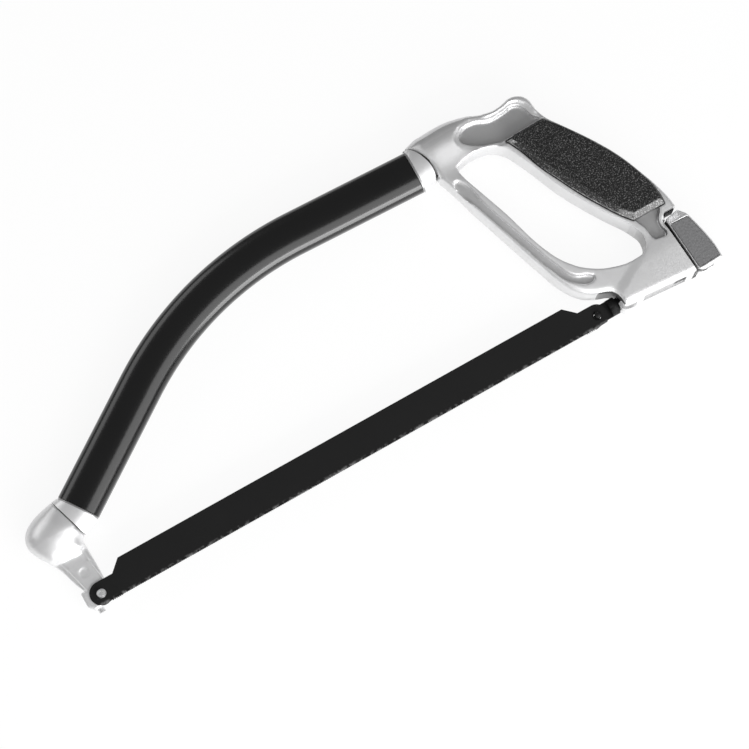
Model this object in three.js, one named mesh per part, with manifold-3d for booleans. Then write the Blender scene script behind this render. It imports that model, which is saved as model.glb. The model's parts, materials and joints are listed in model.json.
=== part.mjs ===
// Hacksaw with a bent flat-oval tube bow, cast nose, cast D handle and a cam lever that stretches the blade.
// It lies flat: X runs along the blade towards the handle, Y from the teeth to the bow, Z out of its side.
// Sizes are in millimetres. The front half is drawn about the front stud, the handle about the rear stud.

import * as THREE from 'three';
import { mergeVertices } from 'three/addons/utils/BufferGeometryUtils.js';
import Module from 'manifold-3d';

const wasm = await Module();
wasm.setup();

// Fits
const seat = 0.3;
const studPlay = 0.1;
const overcut = 20;

// Blade
const holeSpan = 300;
const holeDiameter = 5;
const bladeThickness = 0.65;
const toothDrop = 6.4;
const neckHalfHeight = 6.4;
const bodyTop = 12.4;
const frontNeckLength = 9.7;
const rearNeckLength = 8.2;
const shoulderRun = 6.4;
const toothPitch = 25.4 / 24;
const toothDepth = 0.75;
const toothSet = 0.18;
const teethPerWave = 8;

// Studs
const studDiameter = 3.6;
const studRise = 2.6;
const studDepth = 5;
const flushStudDrop = 2.6;
const flushStudLead = 3.6;

// Bow tube
const tubeWidth = 24;
const tubeThickness = 15;
const tubeWall = 2;
const bendRadius = 186;
const sectionPower = 2.7;
const sectionPoints = 24;
const bendSteps = 14;

// Ferrules: tube end and socket end, each with its centre and the lean of its axis
const ferruleProud = 0.4;
const rearJointDome = 2.4;
const spigotLength = 14;
const spigotWall = 3.2;
const noseTubeEnd = { x: 11.2, y: 45.6, lean: 34.6 };
const noseSocket = { x: 4.0, y: 43.1, lean: 17.4 };
const handleTubeEnd = { x: -46.2, y: 117.2, lean: -1.9 };
const handleSocket = { x: -40.2, y: 118.7, lean: 10.4 };
const crossPinDiameter = 3.4;
const crossPinLength = 12;
const crossPinInset = 7;

// Nose casting
const noseThickness = 18;
const socketThickness = 16;
const armThickness = 8;
const armBevel = 1.2;
const footDrop = 5.8;
const markDiameter = 5.3;
const markDepth = 0.4;

// Handle casting
const handleThickness = 18;
const handleBevel = 2.2;
const recessDepth = 2.6;
const pocketDepth = 3.8;
const gripRim = 0.9;
const padRise = 2.4;
const padShoulder = 0.5;
const padHoleSlope = 3.2;
const padEndSlope = 2;
const padEdgeSlope = 0.9;
const grooveWidth = 4.4;
const grooveDepth = 2;
const undersideFront = { x: 14.3, y: -3.4 };
const undersideSlope = 4.2;
const undersideSlotStart = 12;
const undersideSlotLength = 25;
const undersideSlotWidth = 7.4;
const undersideSlotDepth = 0.6;
const bossX = 17;
const bossY = -1.8;
const bossRadius = 5.1;
const bossHalfDepth = 5;

// Draw bar
const barDiameter = 9.6;
const barFrontReach = 7.2;
const barSeatReach = 7;
const barHeadReach = 11.3;
const shankDiameter = 6;
const tongueThickness = 6.4;
const tongueLength = 14;
const eyeRadius = 3.9;

// Tension lever: the cam's reach from the pivot falls evenly as the lever opens
const leverOpenDegrees = 90;
const leverThickness = 17;
const leverHeight = 35.4;
const leverBevel = 0.8;
const leverGap = 1.1;
const notchGap = 1.8;
const leverCornerRadius = 2.8;
const lipLength = 5.2;
const lipFall = 4.2;
const camReach = 5.4;
const barTravel = 1.15;
const camSteps = 12;
const pivotX = 63.7;
const pivotY = -2.85;
const rearFaceLean = 3.1;
const leverPinDiameter = 4;
const pinCover = 2;
const panelThickness = 0.9;
const panelProud = 0.15;
const panelMargin = 0.9;

// Cam plate
const platePocketDepth = 1.6;
const plateHalfWidth = 7;
const plateBottom = -6.2;
const flangeHalfWidth = 8.3;
const flangeBottom = 6;

const radians = THREE.MathUtils.degToRad;
const studRadius = studDiameter / 2;
const studOffset = (holeDiameter - studDiameter) / 2 - studPlay;
const rearStudX = holeSpan + 2 * studOffset;
const seatTop = -bladeThickness / 2 - seat;
const handleHalf = handleThickness / 2;
const floorHeight = handleHalf - recessDepth;
const openAngle = radians(leverOpenDegrees);
const leverBottom = barTravel - camReach;
const notchTop = pivotY + leverBottom + leverHeight + notchGap;
const rearFaceTop = notchTop - 3.6;
const gripEnd = notchTop + 3.6;
const collarWidth = tubeWidth + 2 * ferruleProud;
const collarThickness = tubeThickness + 2 * ferruleProud;

function material(colour, metalness, roughness) {
  return new THREE.MeshStandardMaterial({ color: colour, metalness, roughness });
}

const aluminium = material(0xc8c9ca, 0.9, 0.4);
const blackGloss = material(0x101112, 0.1, 0.15);
const blackSteel = material(0x1c1c1d, 0.6, 0.45);
const steel = material(0x9a9b9d, 0.9, 0.35);
const rubber = material(0x191919, 0, 0.85);
const greyTexture = material(0x77797b, 0.2, 0.7);

// A closed three.js geometry becomes a solid for cutting and joining.
function solid(geometry) {
  const bare = new THREE.BufferGeometry();
  bare.setAttribute('position', geometry.getAttribute('position'));
  bare.setIndex(geometry.getIndex());
  const merged = mergeVertices(bare, 1e-4);
  const points = new Float32Array(merged.getAttribute('position').array);
  const corners = new Uint32Array(merged.getIndex().array);
  if (signedVolume(points, corners) < 0) {
    corners.reverse();
  }
  return new wasm.Manifold(new wasm.Mesh({ numProp: 3, vertProperties: points, triVerts: corners }));
}

function signedVolume(points, corners) {
  const a = new THREE.Vector3();
  const b = new THREE.Vector3();
  const c = new THREE.Vector3();
  let total = 0;
  for (let i = 0; i < corners.length; i += 3) {
    a.fromArray(points, 3 * corners[i]);
    b.fromArray(points, 3 * corners[i + 1]);
    c.fromArray(points, 3 * corners[i + 2]);
    total += a.dot(b.cross(c));
  }
  return total;
}

function piece(name, body, finish) {
  const { vertProperties, triVerts } = body.getMesh();
  const geometry = new THREE.BufferGeometry();
  geometry.setAttribute('position', new THREE.Float32BufferAttribute(vertProperties, 3));
  geometry.setIndex(new THREE.Uint32BufferAttribute(triVerts, 1));
  geometry.computeVertexNormals();
  const mesh = new THREE.Mesh(geometry, finish);
  mesh.name = name;
  return mesh;
}

function outline(points) {
  return new THREE.Shape(points.map(([x, y]) => new THREE.Vector2(x, y)));
}

// The points of an outline, counter-clockwise, with no point repeated.
function outlinePoints(shape, curveSegments) {
  const points = shape.getPoints(curveSegments).filter(
    (point, i, all) => point.distanceTo(all[(i + 1) % all.length]) > 1e-6);
  if (THREE.ShapeUtils.area(points) < 0) {
    points.reverse();
  }
  return points;
}

// An outline's points moved inwards by an even distance.
function insetPoints(points, distance) {
  return points.map((point, i) => {
    const before = points[(i + points.length - 1) % points.length];
    const after = points[(i + 1) % points.length];
    const a = new THREE.Vector2().subVectors(point, before).normalize();
    const b = new THREE.Vector2().subVectors(after, point).normalize();
    const normal = new THREE.Vector2(-a.y - b.y, a.x + b.x);
    return point.clone().addScaledVector(normal, distance / (1 + a.dot(b)));
  });
}

// A closed solid from a stack of outlines, each with its height.
function stack(layers) {
  const count = layers[0].points.length;
  const vertices = layers.flatMap(({ points, z }) => points.map((p) => new THREE.Vector3(p.x, p.y, z)));
  const faces = [];
  for (let layer = 0; layer + 1 < layers.length; layer += 1) {
    for (let i = 0; i < count; i += 1) {
      const low = layer * count;
      const next = (i + 1) % count;
      faces.push(low + i, low + next, low + count + next, low + i, low + count + next, low + count + i);
    }
  }
  const top = (layers.length - 1) * count;
  for (const [a, b, c] of THREE.ShapeUtils.triangulateShape(layers[0].points, [])) {
    faces.push(c, b, a);
  }
  for (const [a, b, c] of THREE.ShapeUtils.triangulateShape(layers[layers.length - 1].points, [])) {
    faces.push(top + a, top + b, top + c);
  }
  const geometry = new THREE.BufferGeometry().setFromPoints(vertices);
  geometry.setIndex(faces);
  return solid(geometry);
}

// A plate of the given outline between two heights, its edges rounded inside the outline.
// A negative round flares outwards, for cutting a hole with rounded edges.
function plate(shape, bottom, top, round = 0, segments = 2, curveSegments = 2) {
  const points = outlinePoints(shape, curveSegments);
  const layers = [];
  const steps = round === 0 ? 0 : segments;
  for (let i = 0; i <= steps; i += 1) {
    const angle = steps === 0 ? Math.PI / 2 : (Math.PI / 2) * (i / steps);
    const layer = insetPoints(points, round * (1 - Math.sin(angle)));
    const height = Math.abs(round) * (1 - Math.cos(angle));
    layers.push({ points: layer, z: bottom + height });
    layers.push({ points: layer, z: top - height });
  }
  layers.sort((a, b) => a.z - b.z);
  return stack(layers);
}

function box(x0, y0, z0, x1, y1, z1) {
  const geometry = new THREE.BoxGeometry(x1 - x0, y1 - y0, z1 - z0);
  geometry.translate((x0 + x1) / 2, (y0 + y1) / 2, (z0 + z1) / 2);
  return solid(geometry);
}

function uprightRod(x, y, z0, z1, diameter, sides = 20) {
  const geometry = new THREE.CylinderGeometry(diameter / 2, diameter / 2, z1 - z0, sides);
  geometry.rotateX(Math.PI / 2);
  geometry.translate(x, y, (z0 + z1) / 2);
  return solid(geometry);
}

function lengthwiseRod(x0, x1, diameter, sides = 32) {
  const geometry = new THREE.CylinderGeometry(diameter / 2, diameter / 2, x1 - x0, sides);
  geometry.rotateZ(Math.PI / 2);
  geometry.translate((x0 + x1) / 2, 0, 0);
  return solid(geometry);
}

// A stud with a small chamfer at its free end, turned about an axis through its seat.
function studGeometry(below, above) {
  const chamfer = studRadius / 4;
  const profile = [
    new THREE.Vector2(0, -below),
    new THREE.Vector2(studRadius, -below),
    new THREE.Vector2(studRadius, above - chamfer),
    new THREE.Vector2(studRadius - chamfer, above),
    new THREE.Vector2(0, above),
  ];
  return new THREE.LatheGeometry(profile, 20);
}

// A ring of points round a flat-oval section that spans two points of the saw's plane.
function ring(outer, inner, thickness) {
  const points = [];
  const across = new THREE.Vector2().subVectors(outer, inner).multiplyScalar(0.5);
  const middle = new THREE.Vector2().addVectors(outer, inner).multiplyScalar(0.5);
  for (let i = 0; i < sectionPoints; i += 1) {
    const angle = (2 * Math.PI * i) / sectionPoints;
    const u = Math.sign(Math.cos(angle)) * Math.abs(Math.cos(angle)) ** (2 / sectionPower);
    const v = Math.sign(Math.sin(angle)) * Math.abs(Math.sin(angle)) ** (2 / sectionPower);
    points.push(new THREE.Vector3(middle.x + u * across.x, middle.y + u * across.y, (v * thickness) / 2));
  }
  return points;
}

// A ring square to an axis that leans from X by the given angle.
// A dome carries the ring's near and far sides along the axis.
function squareRing(end, width, thickness, along = 0, dome = 0) {
  const lean = radians(end.lean);
  const axis = new THREE.Vector3(Math.cos(lean), Math.sin(lean), 0);
  const side = new THREE.Vector2(-axis.y, axis.x).multiplyScalar(width / 2);
  const centre = new THREE.Vector2(end.x + along * axis.x, end.y + along * axis.y);
  const points = ring(centre.clone().add(side), centre.clone().sub(side), thickness);
  return points.map((point) => point.addScaledVector(axis, dome * ((2 * point.z) / thickness) ** 2));
}

// A closed solid through a row of rings.
function loft(rings) {
  const count = rings[0].length;
  const vertices = rings.flat();
  const firstCap = vertices.length;
  const lastCap = firstCap + 1;
  for (const capped of [rings[0], rings[rings.length - 1]]) {
    const centre = new THREE.Vector3();
    capped.forEach((point) => centre.add(point));
    vertices.push(centre.divideScalar(count));
  }
  const faces = [];
  for (let i = 0; i < count; i += 1) {
    const next = (i + 1) % count;
    for (let r = 0; r + 1 < rings.length; r += 1) {
      const low = r * count;
      const high = low + count;
      faces.push(low + i, low + next, high + next, low + i, high + next, high + i);
    }
    const top = (rings.length - 1) * count;
    faces.push(firstCap, next, i, lastCap, top + i, top + next);
  }
  const geometry = new THREE.BufferGeometry().setFromPoints(vertices);
  geometry.setIndex(faces);
  return solid(geometry);
}

function moved(end, shift) {
  return { ...end, x: end.x + shift };
}

// Bow tube: two straight legs joined by one arc.
function bowCentreLine(front, rear) {
  const a = new THREE.Vector2(Math.cos(radians(front.lean)), Math.sin(radians(front.lean)));
  const b = new THREE.Vector2(Math.cos(radians(rear.lean)), Math.sin(radians(rear.lean)));
  const chord = new THREE.Vector2(rear.x - front.x, rear.y - front.y);
  const reach = chord.cross(b) / a.cross(b);
  const corner = new THREE.Vector2(front.x, front.y).addScaledVector(a, reach);
  const turn = radians(front.lean - rear.lean);
  const tangent = bendRadius * Math.tan(turn / 2);
  const arcStart = corner.clone().addScaledVector(a, -tangent);
  const arcCentre = arcStart.clone().add(new THREE.Vector2(a.y, -a.x).multiplyScalar(bendRadius));
  const stations = [front];
  for (let i = 0; i <= bendSteps; i += 1) {
    const lean = front.lean - THREE.MathUtils.radToDeg((turn * i) / bendSteps);
    const x = arcCentre.x - bendRadius * Math.sin(radians(lean));
    const y = arcCentre.y + bendRadius * Math.cos(radians(lean));
    stations.push({ x, y, lean });
  }
  stations.push(rear);
  return stations;
}

const rearTubeEnd = moved(handleTubeEnd, rearStudX);
const rearSocket = moved(handleSocket, rearStudX);

function slid(end, distance) {
  const lean = radians(end.lean);
  return { x: end.x + distance * Math.cos(lean), y: end.y + distance * Math.sin(lean), lean: end.lean };
}

function bowTube() {
  const stations = bowCentreLine(slid(noseTubeEnd, seat), slid(rearTubeEnd, -seat));
  const outer = loft(stations.map((s) => squareRing(s, tubeWidth, tubeThickness)));
  const longer = [slid(stations[0], -1), ...stations.slice(1, -1), slid(stations[stations.length - 1], 1)];
  const bore = loft(longer.map((s) => squareRing(s, tubeWidth - 2 * tubeWall, tubeThickness - 2 * tubeWall)));
  return outer.subtract(bore);
}

// Ferrule: a mitred collar with one spigot in the tube and one in the casting's socket.
function ferrule(tubeEnd, socketEnd, intoTube, dome = 0) {
  const collar = loft([
    squareRing(tubeEnd, collarWidth, collarThickness),
    squareRing(socketEnd, collarWidth, collarThickness, 0, dome),
  ]);
  const plugWidth = tubeWidth - 2 * (tubeWall + seat);
  const plugThickness = tubeThickness - 2 * (tubeWall + seat);
  const plug = loft([
    squareRing(tubeEnd, plugWidth, plugThickness, intoTube * spigotLength),
    squareRing(tubeEnd, plugWidth, plugThickness, -intoTube),
  ]);
  const spigotWidth = tubeWidth - 2 * spigotWall;
  const spigotThickness = tubeThickness - 2 * spigotWall;
  const spigot = loft([
    squareRing(socketEnd, spigotWidth, spigotThickness, intoTube),
    squareRing(socketEnd, spigotWidth, spigotThickness, -intoTube * spigotLength),
  ]);
  const pin = slid(socketEnd, -intoTube * crossPinInset);
  const hole = uprightRod(pin.x, pin.y, -tubeThickness, tubeThickness, crossPinDiameter + 2 * seat);
  return collar.add(plug).add(spigot).subtract(hole);
}

// The room that a ferrule's spigot and its pin need in a casting.
function socketRoom(socketEnd, intoTube) {
  const width = tubeWidth - 2 * (spigotWall - seat);
  const thickness = tubeThickness - 2 * (spigotWall - seat);
  const pin = slid(socketEnd, -intoTube * crossPinInset);
  const room = loft([
    squareRing(socketEnd, width, thickness, intoTube * spigotWall),
    squareRing(socketEnd, width, thickness, -intoTube * (spigotLength + seat)),
  ]);
  return room.add(uprightRod(pin.x, pin.y, -handleThickness, 0, crossPinDiameter + 2 * seat));
}

function crossPin(socketEnd, intoTube) {
  const pin = slid(socketEnd, -intoTube * crossPinInset);
  const bottom = -socketThickness / 2 + seat;
  return uprightRod(pin.x, pin.y, bottom, bottom + crossPinLength, crossPinDiameter);
}

function armOutline() {
  const shape = outline([[5, 30], [5.4, 18], [5.2, -footDrop], [-6.2, -footDrop]]);
  shape.quadraticCurveTo(-9.2, -footDrop, -9.2, 3 - footDrop);
  shape.lineTo(-9.2, 5.6);
  shape.lineTo(-6.6, 5.6);
  shape.lineTo(-9.4, 11.9);
  shape.quadraticCurveTo(-11.6, 20, -17.5, 30);
  return shape;
}

// Nose casting: an elbow from the tube's socket down to a flat arm and foot.
function noseCasting() {
  const start = slid(noseSocket, -seat);
  const elbow = [
    [[-9, 53], [6.4, 30.4], noseThickness],
    [[-15.8, 50.4], [5.6, 29.6], noseThickness],
    [[-20.6, 46.2], [5.2, 28.8], noseThickness],
    [[-22.4, 41], [5, 28], noseThickness],
    [[-21.2, 35.2], [4.9, 27.2], noseThickness - 1],
    [[-18.4, 30], [4.9, 26.4], noseThickness - 2.5],
    [[-15.4, 25.4], [4.9, 25.4], noseThickness - 5],
  ];
  const rings = [squareRing(start, collarWidth, socketThickness)];
  for (const [outer, inner, thickness] of elbow) {
    rings.push(ring(new THREE.Vector2(...outer), new THREE.Vector2(...inner), thickness));
  }
  const armSolid = plate(armOutline(), seatTop - armThickness, seatTop, armBevel, 2, 3);
  const mark = uprightRod(-2.3, 14.2, seatTop - markDepth, seatTop + 1, markDiameter, 24);
  const mainStud = uprightRod(0, 0, seatTop - studDepth - seat, seatTop + 1, studDiameter + 2 * seat);
  const flushHole = flushStudRod(seat);
  return loft(rings).add(armSolid).subtract(mark).subtract(mainStud).subtract(flushHole)
    .subtract(socketRoom(noseSocket, 1));
}

function flushStudRod(clearance) {
  const length = flushStudDrop + studDepth;
  const radius = studRadius + clearance;
  const geometry = new THREE.CylinderGeometry(radius, radius, length + clearance, 20);
  const middle = (length + clearance) / 2 - footDrop - flushStudDrop;
  geometry.translate(-flushStudLead, middle, seatTop - armThickness / 2);
  return solid(geometry);
}

function uprightStud() {
  const geometry = studGeometry(studDepth, studRise - seatTop);
  geometry.rotateX(Math.PI / 2);
  geometry.translate(0, 0, seatTop);
  return solid(geometry);
}

// Blade: necked ends, real teeth and a wavy set.
function bladeSolid() {
  const rear = holeSpan;
  const shape = new THREE.Shape();
  shape.moveTo(0, -toothDrop);
  const teeth = Math.floor((rear - neckHalfHeight) / toothPitch);
  for (let i = 0; i < teeth; i += 1) {
    const x = neckHalfHeight / 2 + i * toothPitch;
    shape.lineTo(x, -toothDrop + toothDepth);
    shape.lineTo(x + toothPitch * 0.72, -toothDrop);
  }
  shape.lineTo(rear, -toothDrop + toothDepth);
  shape.absarc(rear, 0, neckHalfHeight, radians(-60), Math.PI / 2, false);
  shape.lineTo(rear - rearNeckLength, neckHalfHeight);
  shape.lineTo(rear - rearNeckLength - shoulderRun, bodyTop);
  shape.lineTo(frontNeckLength + shoulderRun, bodyTop);
  shape.lineTo(frontNeckLength, neckHalfHeight);
  shape.absarc(0, 0, neckHalfHeight, Math.PI / 2, (3 * Math.PI) / 2, false);
  for (const x of [0, rear]) {
    const hole = new THREE.Path();
    hole.absarc(x, 0, holeDiameter / 2, 0, 2 * Math.PI, true);
    shape.holes.push(hole);
  }
  const geometry = new THREE.ExtrudeGeometry(
    shape, { depth: bladeThickness, bevelEnabled: false, curveSegments: 14 });
  geometry.translate(0, 0, -bladeThickness / 2);
  const position = geometry.getAttribute('position');
  const wave = teethPerWave * toothPitch;
  for (let i = 0; i < position.count; i += 1) {
    const x = position.getX(i);
    const atTip = position.getY(i) < -toothDrop + toothDepth / 4;
    if (atTip && x > neckHalfHeight && x < rear - neckHalfHeight) {
      position.setZ(i, position.getZ(i) + toothSet * Math.sin((2 * Math.PI * x) / wave));
    }
  }
  geometry.translate(studOffset, 0, 0);
  return solid(geometry);
}

// Handle casting, drawn about the rear stud.
const backEdge = [
  [65.3, notchTop + 4.6], [63.7, 42.4], [59.3, 55.9], [54.4, 68.7], [48.5, 79.9], [42.1, 90.2], [35.3, 100.1],
  [30.2, 107.9],
];
const gripLowerEdge = [
  [41.5, gripEnd], [36.8, 39.6], [30.4, 49.9], [24.3, 60.6], [18.7, 72.2], [13.2, 84], [8.5, 97.3],
];

const gripOutward = new THREE.Vector2(0.86, 0.51);

function vectors(points) {
  return points.map(([x, y]) => new THREE.Vector2(x, y));
}

function rearFaceX(y) {
  return pivotX - (camReach + leverGap) / Math.cos(radians(rearFaceLean))
    - (y - pivotY) * Math.tan(radians(rearFaceLean));
}

function handleOutline() {
  const shape = new THREE.Shape();
  shape.moveTo(-36, 112);
  shape.lineTo(-37.2, 108.5);
  shape.lineTo(-14.2, 36);
  shape.splineThru(vectors([[-9.4, 22.9], [-2.6, 13.3], [2, 10.2]]));
  shape.splineThru(vectors([[6.4, 8.2], [10.9, 6.4], [13.2, 3.6], [14, 0.4]]));
  shape.lineTo(undersideFront.x, undersideFront.y);
  shape.lineTo(pivotX, undersideFront.y - (pivotX - undersideFront.x) * Math.tan(radians(undersideSlope)));
  shape.lineTo(pivotX, notchTop - 7);
  shape.lineTo(rearFaceX(notchTop) + 0.3, notchTop - 6.4);
  shape.quadraticCurveTo(
    rearFaceX(notchTop) + 0.3, notchTop - 0.8, rearFaceX(notchTop) + 3, notchTop - 0.3);
  shape.lineTo(66, notchTop);
  shape.lineTo(...backEdge[0]);
  shape.splineThru(vectors(backEdge.slice(1)));
  shape.splineThru(vectors([[28.2, 114], [27.4, 120.6], [24.4, 124.7], [18.6, 126.6], [12.4, 125.2],
    [6.1, 124.9], [-1.5, 127.2], [-14.3, 133]]));
  shape.lineTo(-26, 130);
  return shape;
}

function handHole() {
  const hole = new THREE.Shape();
  hole.moveTo(-25.3, 102.2);
  hole.lineTo(-25.2, 106.2);
  hole.splineThru(vectors([[-18.5, 108.6], [-9, 108.7], [1.1, 104.3], [7.4, 93.5],
    [17.8, 68.4], [30, 46.4], [39.6, 30.8], [41.7, 24], [38.8, 17.3], [31.4, 15.4], [20, 17.1], [7.9, 22.9],
    [0, 30.3], [-6.3, 40.6]]));
  return hole;
}

// The grip's side outline. A slope draws its edges in, most of all along the hand hole.
function gripOutline(slope = 0) {
  const rim = gripRim + slope * padEdgeSlope;
  const inFromBack = (point) => point.addScaledVector(gripOutward, -rim);
  const inFromHole = (point) => point.addScaledVector(gripOutward, slope * padHoleSlope);
  const bottom = gripEnd + slope * padEndSlope;
  const back = vectors(backEdge.slice(2, -1).reverse()).map(inFromBack);
  const hole = vectors(gripLowerEdge).map(inFromHole);
  const shape = new THREE.Shape([
    inFromHole(new THREE.Vector2(4.2, 106.6 - slope * padEdgeSlope)),
    inFromBack(new THREE.Vector2(29.6, 107.8 - slope * padEdgeSlope)),
  ]);
  shape.splineThru([...back, new THREE.Vector2(62 - rim, 46), new THREE.Vector2(62.4 - rim, gripEnd + 5.7)]);
  shape.lineTo(62.2 - rim, bottom);
  shape.lineTo(hole[0].x, bottom);
  shape.splineThru(hole.slice(1));
  return shape;
}

// An outline moved inwards by an even distance.
function inset(shape, distance) {
  return new THREE.Shape(insetPoints(outlinePoints(shape, 2), distance));
}

function frontPocket() {
  const shape = outline([[2.6, 106.8], [28, 108]]);
  shape.splineThru(vectors([[24.4, 112], [23, 117.4], [18, 121.6], [11.9, 121], [3, 120.8], [-6.4, 124.1],
    [-14, 123], [-16.8, 119], [-13, 113.6], [2.6, 106.8]]));
  return shape;
}

function fingerPocket() {
  const end = gripEnd - seat;
  const shape = outline([[42.4, end + 1], [42.6, end]]);
  shape.splineThru(vectors([[45, 27.4], [45.6, 21.4], [46.6, 19.2]]));
  shape.lineTo(53.2, 18.2);
  shape.splineThru(vectors([[54.6, 19.6], [53.4, notchTop - 5.6], [53.8, notchTop - 2.4],
    [57.2, notchTop + 2.2]]));
  shape.lineTo(57.4, end + 1);
  return shape;
}

// A strip of even width with round ends along a smooth line.
function strip(points, width) {
  const line = new THREE.SplineCurve(vectors(points));
  const left = [];
  const right = [];
  const count = 3 * points.length;
  for (let i = 0; i <= count; i += 1) {
    const along = line.getTangent(i / count);
    const side = new THREE.Vector2(-along.y, along.x).multiplyScalar(width / 2);
    const at = line.getPoint(i / count);
    left.push(at.clone().add(side));
    right.unshift(at.clone().sub(side));
  }
  const ends = [line.getTangent(1), line.getTangent(0).negate()];
  const tips = [line.getPoint(1), line.getPoint(0)];
  const round = tips.map((tip, i) => tip.clone().addScaledVector(ends[i], width / 2));
  return new THREE.Shape([...left, round[0], ...right, round[1]]);
}

// The same cut on the near and far sides of the handle.
function bothSides(shape, depth) {
  const near = plate(shape, handleHalf - depth, overcut);
  const far = plate(shape, -overcut, depth - handleHalf);
  return near.add(far);
}

// The wear plate: a stem in the handle's rear face and a flange that lines the gap beside the lever.
function camPlateBox(clearance) {
  const face = -camReach - seat;
  const back = -camReach - leverGap - platePocketDepth - clearance;
  const low = plateBottom - pivotY - clearance;
  const high = rearFaceTop - pivotY - 1 + clearance;
  const halfWidth = plateHalfWidth + clearance;
  const stem = box(back, low, -halfWidth, face, high, halfWidth);
  const flange = box(
    seat - camReach - leverGap, flangeBottom, -flangeHalfWidth, face, high, flangeHalfWidth);
  return leaned(stem.add(flange));
}

// A solid drawn about the lever's pivot, leaned with the handle's rear face and set at the pivot.
function leaned(body) {
  return body.rotate([0, 0, rearFaceLean]).translate([pivotX, pivotY, 0]);
}

function tongueRoom(clearance) {
  const half = tongueThickness / 2 + clearance;
  const front = pivotX - tongueLength - barTravel - clearance;
  const top = pivotY + eyeRadius + clearance;
  return box(front, -barDiameter / 2 - clearance, -half, pivotX, top, half);
}

function handleCasting() {
  const start = slid(handleSocket, seat);
  const barrel = [
    [[-36.6, 131.6], [-35, 105], handleThickness],
    [[-30.5, 132.8], [-30, 101], handleThickness],
    [[-23, 133.6], [-25, 99], handleThickness],
    [[-14.3, 133], [-20, 104], handleThickness - 2],
    [[-6, 129.6], [-14, 110], handleThickness - 5],
  ];
  const rings = [squareRing(start, collarWidth, collarThickness, 0, rearJointDome)];
  for (const [outer, inner, thickness] of barrel) {
    rings.push(ring(new THREE.Vector2(...outer), new THREE.Vector2(...inner), thickness));
  }
  const body = plate(handleOutline(), -handleHalf, handleHalf, handleBevel, 3, 3);
  const hole = plate(handHole(), -handleHalf, handleHalf, -handleBevel, 3, 3);
  const boss = uprightRod(bossX, bossY, -bossHalfDepth, bossHalfDepth, 2 * bossRadius, 28)
    .intersect(box(0, -overcut, -overcut, pivotX, 0, overcut));
  const behind = leaned(box(-camReach - leverGap, -pivotX, -overcut, pivotX, leverHeight, overcut));
  const rearCut = behind.intersect(box(0, -overcut, -overcut, 2 * pivotX, rearFaceTop, overcut));
  const guardGroove = strip(
    [[-29.2, 98.6], [-23.8, 80], [-14.8, 52.9], [-7.7, 32.7], [-2.6, 23], [6, 18.2]], grooveWidth);
  const slotHalf = undersideSlotWidth / 2;
  const slotEnd = undersideSlotStart + undersideSlotLength;
  const slot = box(undersideSlotStart, -overcut, -slotHalf, slotEnd, undersideSlotDepth, slotHalf)
    .rotate([0, 0, -undersideSlope]).translate([undersideFront.x, undersideFront.y, 0]);
  const barRoom = lengthwiseRod(0, pivotX - tongueLength, shankDiameter + 2 * seat);
  return loft(rings).add(body).add(boss)
    .subtract(hole)
    .subtract(rearCut)
    .subtract(bothSides(gripOutline(), recessDepth))
    .subtract(bothSides(frontPocket(), pocketDepth))
    .subtract(bothSides(fingerPocket(), pocketDepth))
    .subtract(bothSides(guardGroove, grooveDepth))
    .subtract(barRoom)
    .subtract(tongueRoom(2 * seat))
    .subtract(slot)
    .subtract(camPlateBox(seat))
    .subtract(socketRoom(handleSocket, -1));
}

// A grip pad fills its recess and rises from it with sloping sides.
function gripPad(side) {
  const full = insetPoints(outlinePoints(gripOutline(), 2), seat);
  const crown = insetPoints(outlinePoints(gripOutline(1), 2), seat);
  const layers = [
    { points: full, z: floorHeight + seat },
    { points: full, z: handleHalf + padShoulder },
    { points: crown, z: handleHalf + padRise },
  ];
  const pad = stack(layers);
  return side > 0 ? pad : pad.mirror([0, 0, 1]);
}

function camPlate() {
  return camPlateBox(0).subtract(tongueRoom(seat));
}

function drawBar() {
  const head = lengthwiseRod(-barFrontReach, barHeadReach, barDiameter);
  const shank = lengthwiseRod(0, pivotX - tongueLength, shankDiameter);
  const seatCut = box(-overcut, -overcut, seatTop, barSeatReach, overcut, overcut);
  const tongueHalf = tongueThickness / 2;
  const tongueTop = pivotY + eyeRadius - seat;
  const blank = box(pivotX - tongueLength, -barDiameter / 2, -tongueHalf, pivotX, tongueTop, tongueHalf);
  const tongue = blank.intersect(lengthwiseRod(0, pivotX + 1, barDiameter));
  const eye = uprightRod(pivotX, pivotY, -tongueHalf, tongueHalf, 2 * eyeRadius, 28);
  const pinHole = uprightRod(pivotX, pivotY, -overcut, overcut, leverPinDiameter + 2 * seat);
  const studHole = uprightRod(0, 0, seatTop - studDepth - seat, seatTop + 1, studDiameter + 2 * seat);
  return head.add(shank).subtract(seatCut).add(tongue).add(eye).subtract(pinHole).subtract(studHole);
}

// The cam's edge: its reach falls from the closed face to the open face at an even rate.
function camEdge() {
  const rate = barTravel / openAngle;
  const points = [];
  for (let i = 0; i <= camSteps; i += 1) {
    const angle = (openAngle * i) / camSteps;
    const reach = camReach - rate * angle;
    points.push([
      -reach * Math.cos(angle) - rate * Math.sin(angle),
      -reach * Math.sin(angle) + rate * Math.cos(angle),
    ]);
  }
  return points;
}

// The lever's side outline about its pivot, with its flat front face square to the X axis.
function leverOutline() {
  const front = -camReach;
  const top = leverBottom + leverHeight;
  const corner = { x: front + leverCornerRadius, y: leverBottom + leverCornerRadius };
  const shape = new THREE.Shape();
  shape.moveTo(corner.x, leverBottom);
  shape.lineTo(9, leverBottom);
  shape.splineThru(vectors([[9.5, 3.6], [8.8, 12], [7.6, 19.6], [6.3, 26], [4, top]]));
  shape.lineTo(front + 1.4, top - 1.4);
  shape.lineTo(front, top - 3);
  shape.lineTo(front, corner.y);
  shape.absarc(corner.x, corner.y, leverCornerRadius, Math.PI, 1.5 * Math.PI, false);
  return shape;
}

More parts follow.
